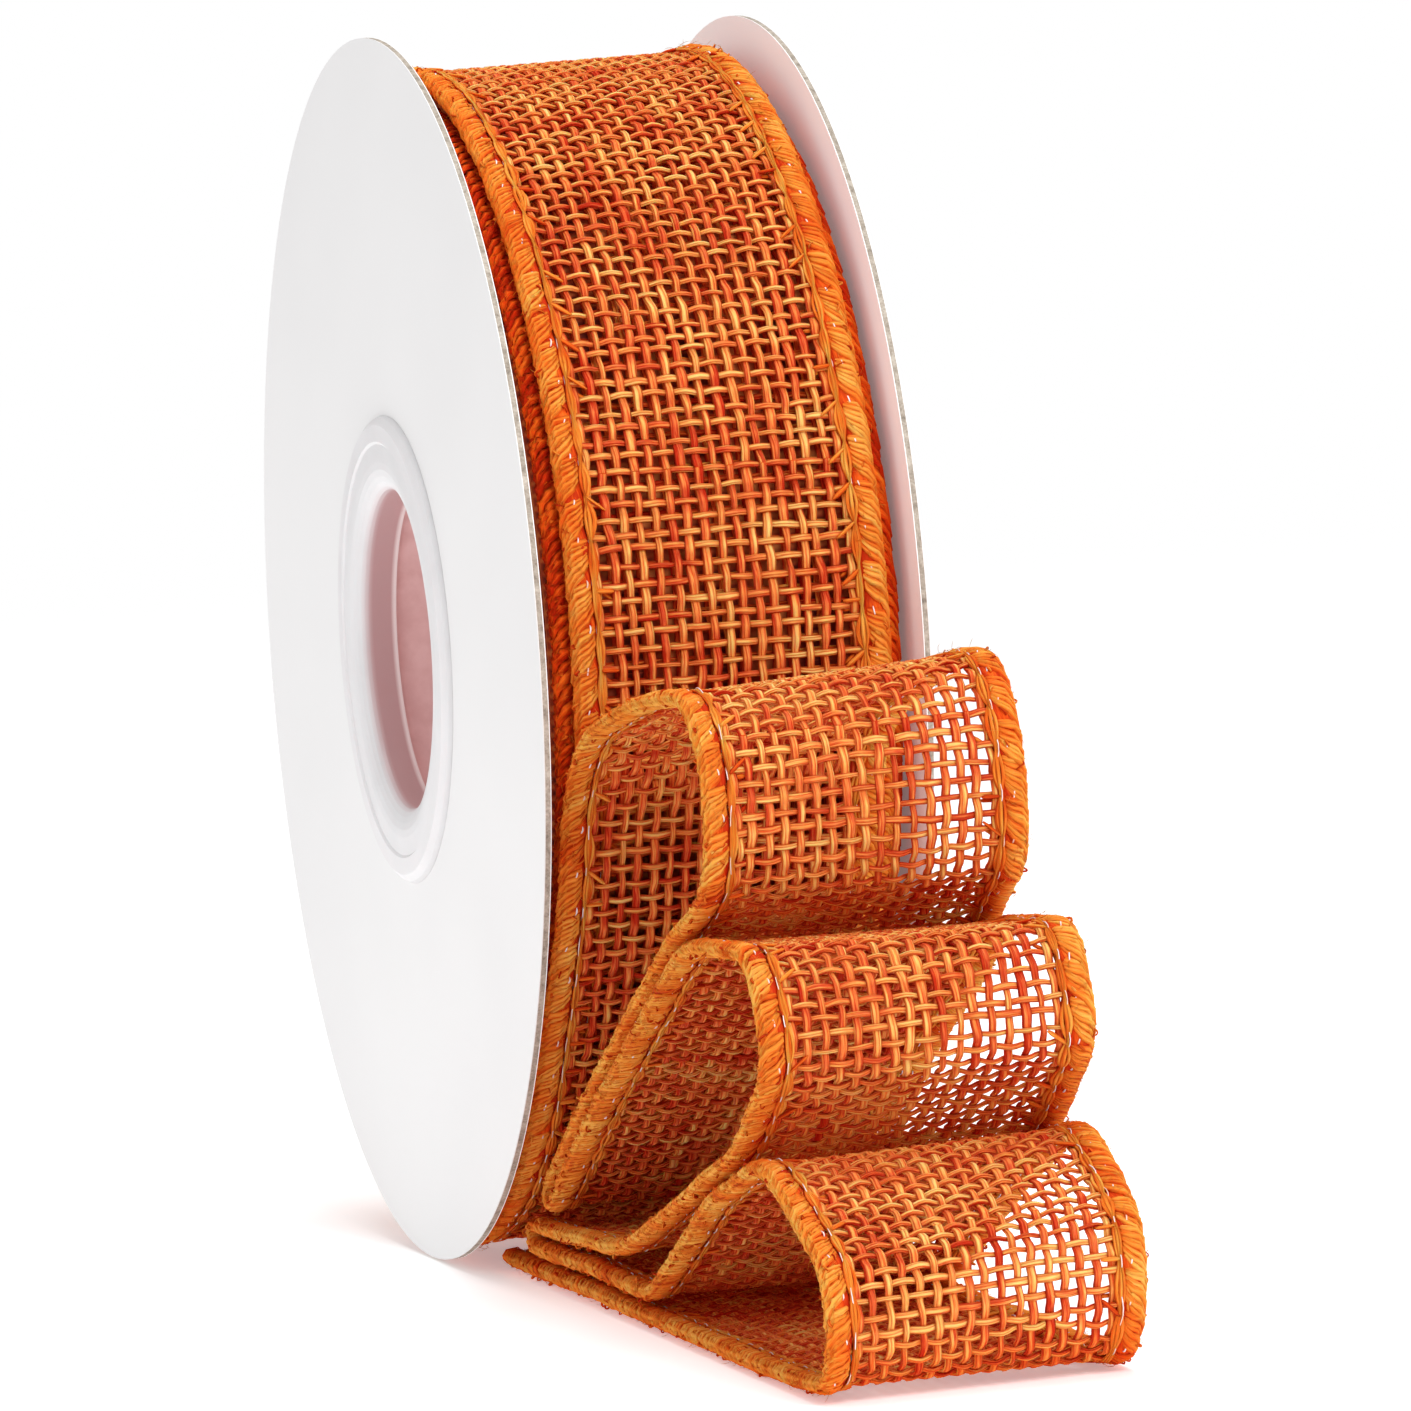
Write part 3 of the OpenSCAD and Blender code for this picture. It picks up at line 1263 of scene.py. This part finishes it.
@dataclass
class Overlock:
    """The sewn edge: a bead with the yarn lapped round it, stitch after stitch.

    Attributes:
        side: which edge.
        stitch: millimetres from stitch to stitch.
        half: the bead's half width across the ribbon, to the lapped yarn's middle.
        rise: the bead's half height, to the lapped yarn's middle.
        seed: its own random seed.
        strands: strands in each stitch's fan.
        fine: rings close enough for a near look.
        deep: how much deeper its colour is, as painted shade for a turn that lies beneath.
        show: how far the clear thread stands up on the upper face, in millimetres.
        inset: from the ribbon's very edge to the bead's middle, in millimetres.
        chain_in: from the bead's middle in to the chain.
        lock_in: from the bead's middle in to the clear thread.
        slant: stitches that a lap goes along while it goes round.
        filling_shade: the filling's mean place on the dye's ramp, deep red as painted shade,
        for it shows only in the gaps between the laps.
        lap_dye: the laps'.
        chain_dye: the chain's.
        chain_rows: for each of the chain's strands on a face, its bow towards the
            bead, how far it stands off the web, and its half width.
        cord: half the chain's thickness.
        curl_size: half a curl's thickness.
        fibre_size: half a loose fibre's.
        thread_size: half the clear thread's.
        wire_size: half the wire's.
    """

    side: Side
    stitch: float = 4.9
    half: float = 1.42
    rise: float = 0.74
    seed: int = 21
    strands: int = 7
    fine: bool = True
    deep: float = 0.0
    show: float = 0.50
    inset: float = 1.75
    chain_in: float = 1.56
    lock_in: float = 1.50
    slant: float = 1.75
    filling_shade: float = 0.84
    lap_dye: float = 0.24
    chain_dye: float = 0.36
    chain_rows: tuple = ((-0.50, 0.42, 0.26), (-0.12, 0.52, 0.28), (0.26, 0.54, 0.24))
    cord: float = 0.20
    curl_size: float = 0.12
    fibre_size: float = 0.026
    thread_size: float = 0.07
    wire_size: float = 0.25

    @property
    def centre_x(self) -> float:
        """The bead's middle across the ribbon."""
        outer = RIBBON_LEFT if self.side is Side.LEFT else RIBBON_RIGHT
        return outer - self.side.value * self.inset

    def stitches(self, lay: Lay) -> int:
        """How many whole stitches the run holds, less the last."""
        return int(lay.length / self.stitch) - 1

    def round_bead(self, lay: Lay, s: Array, turn: Array, grow: Array) -> tuple[Array, Array]:
        """Points round the bead and the directions straight out of it.

        Turn 0 is the ribbon's very edge and a quarter turn is its upper face. The
        point is half cos(turn) outward and rise sin(turn) up, both plus grow.

        Args:
            lay: the surface.
            s: millimetres along.
            turn: radians round the bead.
            grow: millimetres off the bead.

        Returns:
            The points and the outward directions.
        """
        sign = self.side.value
        x = self.centre_x + sign * (self.half + grow) * np.cos(turn)
        points, _ = lay.at(x, s, (self.rise + grow) * np.sin(turn))
        x2 = self.centre_x + sign * (self.half * 0.55) * np.cos(turn)
        inner, _ = lay.at(x2, s, np.zeros_like(s))
        return points, unit(points - inner)

    def bead(self, lay: Lay) -> Tubes:
        """The filling under the lapped yarn: one long oval tube, a little lumpy.

        Args:
            lay: the surface.

        Returns:
            The tube.
        """
        rng = np.random.default_rng(self.seed)
        s = np.arange(0.2, lay.length - 0.2, 0.8 if self.fine else 1.6)[None, :]
        centre, up = lay.at(self.centre_x, s, np.zeros_like(s))
        lump = 1 + 0.06 * wander(rng, 1, s.shape[1], 3)
        pinch = 1 + 0.07 * np.cos(2 * np.pi * s / self.stitch)
        # Painted shade: the filling is deep red for the shade in the gaps between the laps, and
        # deeper still on a turn beneath.
        tint = np.clip(self.filling_shade + self.deep + 0.08 * wander(rng, 1, s.shape[1], 4), 0, 1)
        return sweep(centre, up, self.half * lump * pinch, self.rise * lump, 10, tint, 0.8)

    def laps(self, lay: Lay) -> Tubes:
        """The lapped yarn: at each stitch a fan of strands goes round the bead.

        A fan leaves the web's side of the upper face close together, slants out over
        it as it goes along, spreads until it covers the edge, and slants back under.
        Strand place = stitch + slant times the share gone round + spread times the
        strand's place in the fan.

        Args:
            lay: the surface.

        Returns:
            The strands.
        """
        rng = np.random.default_rng(self.seed + 1)
        count = self.stitches(lay)
        rings = 10 if self.fine else 8
        tau = np.linspace(0, 1, rings)[None, :]
        face = np.sin(np.pi * tau)
        begin = 0.16 * varied(rng, count)
        slant = self.slant + 0.08 * varied(rng, count)
        # Painted shade: deep darkens the laps of a turn that lies beneath.
        dye = self.lap_dye + self.deep + 0.10 * varied(rng, count)
        parts = []
        for place in np.linspace(-1, 1, self.strands):
            turn = np.radians(170) * (1 - 2 * tau) + 0.07 * varied(rng, count)
            spread = self.stitch * (0.13 + 0.33 * face**0.6)
            ease = tau + 0.05 * np.sin(4 * np.pi * tau)
            s = np.arange(count)[:, None] * self.stitch + begin + slant * self.stitch * ease
            s = s + place * spread + 0.10 * wander(rng, count, rings, 5)
            s = np.clip(s, 0.2, lay.length - 0.2)
            out = 0.045 * varied(rng, count) + 0.04 * face * wander(rng, count, rings, 4)
            centre, up = self.round_bead(lay, s, turn, out - 0.35 * (1 - face) ** 3)
            size = 3.5 / self.strands * (1 + 0.12 * varied(rng, count))
            wide = size * (0.42 + 0.58 * face**0.6)
            tall = 0.33 * (1 + 0.12 * varied(rng, count)) * (0.6 + 0.4 * face)
            tint = dye + 0.08 * varied(rng, count) + 0.07 * wander(rng, count, rings, 4)
            # Painted shade: a lap is deeper at its two ends, where it tucks under against the web.
            tint = np.clip(tint + 0.35 * (1 - face) ** 2, 0, 1)
            parts.append(sweep(centre, up, wide, tall, 5, tint, 0.5))
        return Tubes.joined(parts)

    def chain(self, lay: Lay) -> Tubes:
        """The strands along the web's side of the bead, on both faces.

        On each face three strands run from stitch to stitch: one bows towards the web
        between them, a second bows less, and the third bows towards the bead. At six
        stitches in ten a short one slants into the weave.

        Args:
            lay: the surface.

        Returns:
            The strands.
        """
        rng = np.random.default_rng(self.seed + 2)
        sign = self.side.value
        inner = self.centre_x - sign * self.chain_in
        s = np.arange(0.3, lay.length - 0.3, 0.8)[None, :]
        beat = np.abs(np.sin(np.pi * s / self.stitch))
        beat = beat * (1 + 0.3 * wander(rng, 1, s.shape[1], 8))
        parts = []
        for face in (1, -1):
            for bow, lift, size in self.chain_rows:
                x = inner + sign * bow * beat + 0.05 * wander(rng, 1, s.shape[1], 3)
                centre, up = lay.at(x, s, face * (lift + 0.10 * beat))
                wide = size * (0.80 + 0.25 * beat) * (1 + 0.10 * wander(rng, 1, s.shape[1], 4))
                tint = np.clip(self.chain_dye + 0.16 * wander(rng, 1, s.shape[1], 5), 0, 1)
                parts.append(sweep(centre, up, wide, np.full_like(wide, self.cord), 4, tint))
            number = np.flatnonzero(rng.random(self.stitches(lay)) < 0.6)
            count = len(number)
            tau = np.linspace(0, 1, 6)[None, :]
            side = np.sign(varied(rng, count))
            start = number[:, None] * self.stitch + 0.5 * varied(rng, count)
            along = np.clip(start + (0.9 + 0.8 * side) * tau, 0.2, lay.length - 0.2)
            x = inner - sign * (0.1 + 2.1 * tau)
            centre, up = lay.at(x, along, face * (0.62 - 0.25 * tau) + np.zeros_like(along))
            size = 0.27 * (1 + 0.15 * varied(rng, count)) * np.ones_like(along)
            tint = np.clip(0.45 + 0.2 * varied(rng, count), 0, 1) * np.ones_like(along)
            parts.append(sweep(centre, up, size, np.full_like(size, self.cord), 5, tint, 0.6))
        return Tubes.joined(parts)

    def curls(self, lay: Lay, each: int = 3) -> Tubes:
        """Cut yarn ends that curl out between the laps.

        Each is a small hoop: out of the bead, over, and back in a little further on.
        None goes down through the floor.

        Args:
            lay: the surface.
            each: curls to a stitch.

        Returns:
            The curls.
        """
        rng = np.random.default_rng(self.seed + 3)
        count = int(lay.length / self.stitch * each) - 1
        tau = np.linspace(0, 1, 7)[None, :]
        face = rng.choice([-1.0, 1.0], size=(count, 1))
        in_gap = np.arange(count)[:, None] % 2 == 0
        upper = rng.normal(1.9, 0.2, (count, 1))
        turn = face * np.where(in_gap, upper, rng.uniform(0.1, 1.2, (count, 1)))
        turn = turn + 0.45 * varied(rng, count) * (tau - 0.5)
        gap = rng.uniform(0.45, 1.2, (count, 1))
        s = (np.arange(count)[:, None] + 0.3) * self.stitch / each
        s = s + 0.35 * varied(rng, count)
        s = np.clip(s + gap * (tau - 0.5), 0.3, lay.length - 0.3)
        height = np.where(in_gap, 0.30, rng.uniform(0.38, 0.75, (count, 1)))
        centre, up = self.round_bead(lay, s, turn, height * np.sin(np.pi * tau))
        centre[..., 2] = np.maximum(centre[..., 2], FLOOR_Z + 0.15)
        size = self.curl_size * (1 + 0.2 * varied(rng, count)) * np.ones_like(s)
        tint = np.clip(0.50 + 0.25 * varied(rng, count), 0, 1) * np.ones_like(s)
        return sweep(centre, up, size, size, 4, tint, 0.6)

    def fuzz(self, lay: Lay, each: float) -> Tubes:
        """Loose fibres that stand off the bead.

        Each leaves the bead at a slant, along the ribbon and outward, and bends back.
        None goes down through the floor.

        Args:
            lay: the surface.
            each: fibres to a millimetre.

        Returns:
            The fibres.
        """
        rng = np.random.default_rng(self.seed + 5)
        count = int(lay.length * each)
        tau = np.linspace(0, 1, 4)[None, :]
        turn = rng.uniform(-2.4, 2.4, (count, 1)) + 0.5 * varied(rng, count) * tau
        reach = rng.normal(0, 0.9, (count, 1))
        s = rng.uniform(2, lay.length - 2, (count, 1)) + reach * tau
        height = rng.gamma(2.0, 0.24, (count, 1))
        curl = tau * (1.35 - tau * rng.uniform(0.2, 0.8, (count, 1)))
        centre, up = self.round_bead(lay, s, turn, 0.25 + height * curl)
        centre[..., 2] = np.maximum(centre[..., 2], FLOOR_Z + 0.05)
        size = np.full_like(s, self.fibre_size)
        tint = np.clip(0.1 + 0.12 * varied(rng, count), 0, 1) * np.ones_like(s)
        return sweep(centre, up, size, size, 3, tint, 0.3)

    def lock(self, lay: Lay) -> Tubes:
        """The clear thread: it shows at each stitch, and nearly all along one face.

        Args:
            lay: the surface.

        Returns:
            The thread, one tube on each face.
        """
        rng = np.random.default_rng(self.seed + 4)
        sign = self.side.value
        inner = self.centre_x - sign * self.lock_in
        s = np.arange(0.3, lay.length - 0.3, 0.7)[None, :]
        beat = np.cos(2 * np.pi * s / self.stitch)
        parts = []
        for face, show in ((1, self.show), (-1, 0.56)):
            rise = show + 0.24 * beat + 0.10 * wander(rng, 1, s.shape[1], 3)
            x = inner + 0.08 * wander(rng, 1, s.shape[1], 6) + 0.12 * sign * beat
            centre, up = lay.at(x, s, face * rise)
            size = np.full_like(s, self.thread_size)
            parts.append(sweep(centre, up, size, size, 4, np.full_like(s, 0.5)))
        count = self.stitches(lay)
        tau = np.linspace(-0.5, 0.5, 5)[None, :]
        for face in (1, -1):
            start = np.arange(count)[:, None] * self.stitch + 0.15
            start = start + 0.25 * varied(rng, count)
            along = np.clip(start + rng.uniform(0.7, 1.4, (count, 1)) * tau, 0.3, lay.length - 0.3)
            turn = face * (1.75 + 0.15 * varied(rng, count) - 0.15 * tau)
            centre, up = self.round_bead(lay, along, turn, 0.16 - 1.2 * tau**2)
            size = 0.10 * np.ones_like(along)
            parts.append(sweep(centre, up, size, size, 4, np.full_like(along, 0.5), 0.5))
        return Tubes.joined(parts)

    def wire(self, lay: Lay) -> Tubes:
        """The wire inside the bead.

        Args:
            lay: the surface.

        Returns:
            One thin tube.
        """
        s = np.arange(0.2, lay.length - 0.2, 1.0)[None, :]
        centre, up = lay.at(self.centre_x + self.side.value * 0.4, s, np.zeros_like(s))
        size = np.full_like(s, self.wire_size)
        return sweep(centre, up, size, size, 6, np.full_like(s, 0.5))


# ---------------------------------------------------------------- sub-assemblies


@dataclass
class Spool:
    """The flanges, end caps and core: the frame's solids in their finishes."""

    finishes: Finishes

    def dress(self) -> None:
        """Gives each rigid solid its finish."""
        wear = {
            "left_flange_board": self.finishes.board,
            "right_flange_board": self.finishes.board,
            "left_flange_outer_liner": self.finishes.paper,
            "left_flange_inner_liner": self.finishes.inner_paper_lit,
            "right_flange_outer_liner": self.finishes.paper,
            "right_flange_inner_liner": self.finishes.inner_paper_lit,
            "core_tube": self.finishes.core,
            "left_end_cap": self.finishes.plastic,
            "right_end_cap": self.finishes.plastic,
            "start_tape": self.finishes.thread,
        }
        for node, finish in wear.items():
            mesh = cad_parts[node].data
            mesh.materials.clear()
            mesh.materials.append(finish)
            LOG.info("%s dressed", node)


@dataclass
class Roll:
    """The wound ribbon: two turns woven, the turns under them as a ribbed body.

    Attributes:
        finishes: the materials.
        inner: radius of the winding's inside.
        turn_pitch: millimetres from turn to turn on the body's sides.
        top: the body's outer radius.
        rows: points of the body once round the spool.
        climbs: points of its section up each side.
        flat: points of its section over the top.
    """

    finishes: Finishes
    inner: float = 22.15
    turn_pitch: float = 2.2
    top: float = ROLL_RADIUS - 2.7
    rows: int = 120
    climbs: int = 121
    flat: int = 12

    def under_body(self) -> Tubes:
        """The turns beneath as one closed ring.

        Its section goes out along the left side, over the top and back in along the
        right. Each side is a row of half-round turns, one for every turn_pitch of
        radius, which stand out unevenly.

        Returns:
            The ring.
        """
        rng = np.random.default_rng(5)
        angle = np.arange(self.rows) / self.rows * 2 * np.pi
        climb = np.linspace(self.inner, self.top, self.climbs)
        turn = (climb - self.inner) / self.turn_pitch
        scallop = np.abs(np.sin(np.pi * turn))
        offset = np.repeat(rng.normal(size=24), 6)[: len(climb)] * 0.45
        left = RIBBON_LEFT + 1.9 - 1.1 * scallop + 0.5 * offset
        right = RIBBON_RIGHT - 1.9 + 1.1 * scallop - 0.5 * offset
        over = np.linspace(RIBBON_LEFT + 3.4, RIBBON_RIGHT - 3.4, self.flat)
        x = np.concatenate([left, over, right[::-1]])
        r = np.concatenate([climb, np.full(self.flat, self.top + 0.1), climb[::-1]])
        wave = 0.25 * np.sin(2 * angle)[:, None] * np.sin(turn * 2.1)[None, :]
        shift = np.concatenate([wave, np.zeros((self.rows, self.flat)), wave[:, ::-1]], axis=1)
        points = np.stack(
            [x[None, :] + shift, -r * np.cos(angle)[:, None], r * np.sin(angle)[:, None]], axis=-1
        )
        made = skin(points, np.full(points.shape[:2], 0.5), True, True)
        size = np.array([2 * np.pi * self.top, 2 * (self.top - self.inner) + 31.2])
        made.uv = made.uv * size
        return made

    def build(self) -> None:
        """Builds the outer turn, its edges, two turns' edges and one web under it, and the body."""
        lay = RollLine(lift=0.7).lay()
        webs = Loom(seed=11).weave(lay, 3, dish=0.1)
        made = []
        for k, web in enumerate(webs):
            part = piece(f"roll_weave_{k + 1}", web, self.finishes.burlap)
            made.append(part)
        beads = []
        for side in Side:
            edge = Overlock(side, seed=31 + side.value, show=0.14)
            word = side.name.lower()
            shapes = {
                "filling": (edge.bead(lay), self.finishes.edge, "edge_thread"),
                "laps": (
                    Tubes.joined([edge.laps(lay), edge.chain(lay), edge.curls(lay)]),
                    self.finishes.edge,
                    "edge_thread",
                ),
                "lock": (edge.lock(lay), self.finishes.thread, "clear_thread"),
                "fuzz": (edge.fuzz(lay, 1.6), self.finishes.edge, "edge_thread"),
            }
            for what, (shape, finish, slot) in shapes.items():
                part = piece(f"roll_{word}_edge_{what}", shape, finish)
                beads.append(part)
            for k, (sink, drift) in enumerate(((2.7, 1.7), (5.0, 0.9))):
                low = RollLine(ROLL_RADIUS - sink, drift=drift * side.value).lay()
                # The edges of the turns beneath, painted deeper as shade.
                rope = Overlock(side, seed=51 + k, strands=4 - k, fine=False, deep=0.42)
                shape = Tubes.joined([rope.bead(low), rope.laps(low)])
                part = piece(f"roll_{word}_turn_{k + 2}", shape, self.finishes.edge)
                beads.append(part)
        inner_lay = RollLine(ROLL_RADIUS - 1.6).lay()
        # The second turn's weave, painted deeper as shade.
        under = Loom(seed=13, rings=2, sides=4, deep=0.16).weave(inner_lay, 1)[0]
        second = piece("roll_second_weave", under, self.finishes.burlap)
        made.append(second)
        body = piece("roll_under_turns", self.under_body(), self.finishes.under)
        for part in made + beads + [body]:
            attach(part, "spool")
        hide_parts("wound_web")
        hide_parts("wound_left_edge", "wound_right_edge")
        LOG.info("roll: %d pieces", len(made) + len(beads) + 1)


@dataclass
class Tail:
    """The loose end of the ribbon: off the roll, three loops, and in under them.

    Attributes:
        finishes: the materials.
        cuts: how many pieces its web is made in.
    """

    finishes: Finishes
    cuts: int = 5

    def build(self) -> None:
        """Builds the web in pieces along its length, then both edges."""
        lay = TailLine().lay()
        # Painted shade: the web's face inside the loops is deeper.
        webs = Loom(seed=17, inner=0.26).weave(lay, self.cuts)
        made = []
        for k, web in enumerate(webs):
            part = piece(f"tail_weave_{k + 1}", web, self.finishes.burlap)
            made.append(part)
        beads = []
        for side in Side:
            edge = Overlock(side, seed=71 + side.value)
            word = side.name.lower()
            shapes = {
                "filling": (edge.bead(lay), self.finishes.edge, "edge_thread"),
                "laps": (edge.laps(lay), self.finishes.edge, "edge_thread"),
                "chain": (
                    Tubes.joined([edge.chain(lay), edge.curls(lay)]),
                    self.finishes.edge,
                    "edge_thread",
                ),
                "lock": (edge.lock(lay), self.finishes.thread, "clear_thread"),
                "wire": (edge.wire(lay), self.finishes.wire, "edge_wire"),
                "fuzz": (edge.fuzz(lay, 2.2), self.finishes.edge, "edge_thread"),
            }
            stands_for = {"filling": "edge", "lock": "lock_thread", "wire": "wire"}
            for what, (shape, finish, slot) in shapes.items():
                part = piece(f"tail_{word}_edge_{what}", shape, finish)
                if what in stands_for:
                    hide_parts(f"tail_{word}_{stands_for[what]}")
                beads.append(part)
        for part in made + beads:
            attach(part, "tail")
        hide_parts("tail_web")
        LOG.info("tail: %d pieces, %.1f mm of ribbon", len(made) + len(beads), lay.length)


# ---------------------------------------------------------------- studio


@dataclass(frozen=True)
class Camera:
    """The camera: a long lens a step and a half away.

    Attributes:
        place: metres.
        yaw: degrees to the right of straight ahead.
        pitch: degrees down.
        roll: degrees, positive leaning left.
        lens: millimetres on a 36 mm sensor.
    """

    place: tuple = (-0.3734, -1.5616, 0.1100)
    yaw: float = 13.940
    pitch: float = 4.243
    roll: float = 3.117
    lens: float = 342.87

    def build(self) -> None:
        """Makes the camera and makes it the scene's own."""
        data = bpy.data.cameras.new("camera")
        data.lens = self.lens
        data.sensor_width = 36.0
        data.clip_start, data.clip_end = 0.1, 20.0
        camera = bpy.data.objects.new("camera", data)
        yaw, pitch, roll = np.radians([self.yaw, self.pitch, self.roll])
        ahead = Vector(
            (np.sin(yaw) * np.cos(pitch), np.cos(yaw) * np.cos(pitch), -np.sin(pitch))
        )
        right = Vector((np.cos(yaw), -np.sin(yaw), 0.0))
        up = right.cross(ahead)
        tilt = Matrix.Rotation(roll, 3, ahead)
        right, up = tilt @ right, tilt @ up
        turn = Matrix((right, up, -ahead)).transposed().to_4x4()
        camera.matrix_world = Matrix.Translation(Vector(self.place)) @ turn
        bpy.context.scene.collection.objects.link(camera)
        bpy.context.scene.camera = camera


@dataclass(frozen=True)
class Studio:
    """A pale floor under soft light from above, in front and both sides.

    Attributes:
        floor_z: the floor's height, in metres.
        floor_half: half its side.
        near: how far from the middle it starts to fade out.
        far: where it has faded out.
        surround: strength of the light from all round.
        glow: the floor's own light, which thins the shadows on it.
        lamps: name, place, the point it faces, side in metres and power in watts.
    """

    floor_z: float = -0.0733
    floor_half: float = 2.0
    near: float = 0.45
    far: float = 1.3
    surround: float = 0.62
    glow: float = 0.30
    lamps: tuple = (
        ("key", (0.18, -1.5, 1.05), (0, -0.05, 0), 0.6, 15.5),
        ("fill", (1.1, -1.2, 0.5), (0, -0.05, 0), 0.9, 4.0),
        ("top", (0.1, 0.1, 1.4), (0, 0, 0), 0.9, 8.0),
        ("side", (-1.5, -0.5, 0.9), (0, 0, 0.02), 1.0, 1.8),
    )

    def floor(self) -> None:
        """A wide pale floor that fades out into the white surround.

        Its clear share rises from 0 at near to 1 at far from the middle.
        """
        side = np.linspace(-self.floor_half, self.floor_half, 3) / MM
        x, y = np.meshgrid(side, side, indexing="ij")
        grid = np.stack([x, y, np.full_like(x, self.floor_z / MM)], axis=-1)
        s = Sheet("studio_floor_white")
        where = s.place()
        stops = ((0.3, (0.93, 0.93, 0.93)), (0.7, (0.95, 0.95, 0.95)))
        reach = s.add("VectorMath", operation="LENGTH")
        s.join(where, reach.inputs[0])
        fade = s.add("MapRange", interpolation_type="SMOOTHSTEP")
        s.join(reach.outputs["Value"], fade.inputs["Value"])
        ends = {"From Min": self.near, "From Max": self.far, "To Min": 1.0, "To Max": 0.0}
        for name, value in ends.items():
            fade.inputs[name].default_value = value
        s.give(
            {
                "Base Color": s.ramp(s.noise(where, 3.0), stops),
                "Roughness": 0.9,
                "Specular IOR Level": 0.0,
                "Emission Color": (1.0, 1.0, 1.0, 1.0),
                "Emission Strength": self.glow,
                "Alpha": fade.outputs[0],
            }
        )
        piece("studio_floor", skin(grid, np.zeros((3, 3)), False, False), s.material)

    def lamp(self, name: str, place: tuple, aim: tuple, size: float, power: float) -> None:
        """An area lamp.

        Args:
            name: its name.
            place: metres.
            aim: the point it faces.
            size: its side, in metres.
            power: watts.
        """
        data = bpy.data.lights.new(name, "AREA")
        data.shape = "SQUARE"
        data.size = size
        data.energy = power
        lamp = bpy.data.objects.new(name, data)
        lamp.location = place
        way = Vector(aim) - Vector(place)
        lamp.rotation_euler = way.to_track_quat("-Z", "Y").to_euler()
        bpy.context.scene.collection.objects.link(lamp)

    def build(self) -> None:
        """Floor, lamps, the white surround and the plain view transform.

        The camera sees the surround as white, and the object is lit by its soft tone.
        """
        self.floor()
        for lamp in self.lamps:
            self.lamp(*lamp)
        world = bpy.data.worlds.new("surround")
        world.use_nodes = True
        tree = world.node_tree
        white = tree.nodes["Background"]
        soft = tree.nodes.new("ShaderNodeBackground")
        tones = ((white, (1, 1, 1, 1), 1.0), (soft, (1.0, 0.995, 0.99, 1), self.surround))
        for node, colour, strength in tones:
            node.inputs["Color"].default_value = colour
            node.inputs["Strength"].default_value = strength
        either = tree.nodes.new("ShaderNodeMixShader")
        path = tree.nodes.new("ShaderNodeLightPath")
        tree.links.new(path.outputs["Is Camera Ray"], either.inputs[0])
        tree.links.new(soft.outputs[0], either.inputs[1])
        tree.links.new(white.outputs[0], either.inputs[2])
        tree.links.new(either.outputs[0], tree.nodes["World Output"].inputs[0])
        bpy.context.scene.world = world
        bpy.context.scene.view_settings.view_transform = "Standard"


def main() -> None:
    """Builds the studio and the spool, in order."""
    logging.basicConfig(level=logging.INFO, format="%(message)s")
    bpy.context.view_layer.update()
    Camera().build()
    Studio().build()
    finishes = Finishes.build()
    Spool(finishes).dress()
    Roll(finishes).build()
    Tail(finishes).build()


if __name__ == "__main__":
    main()
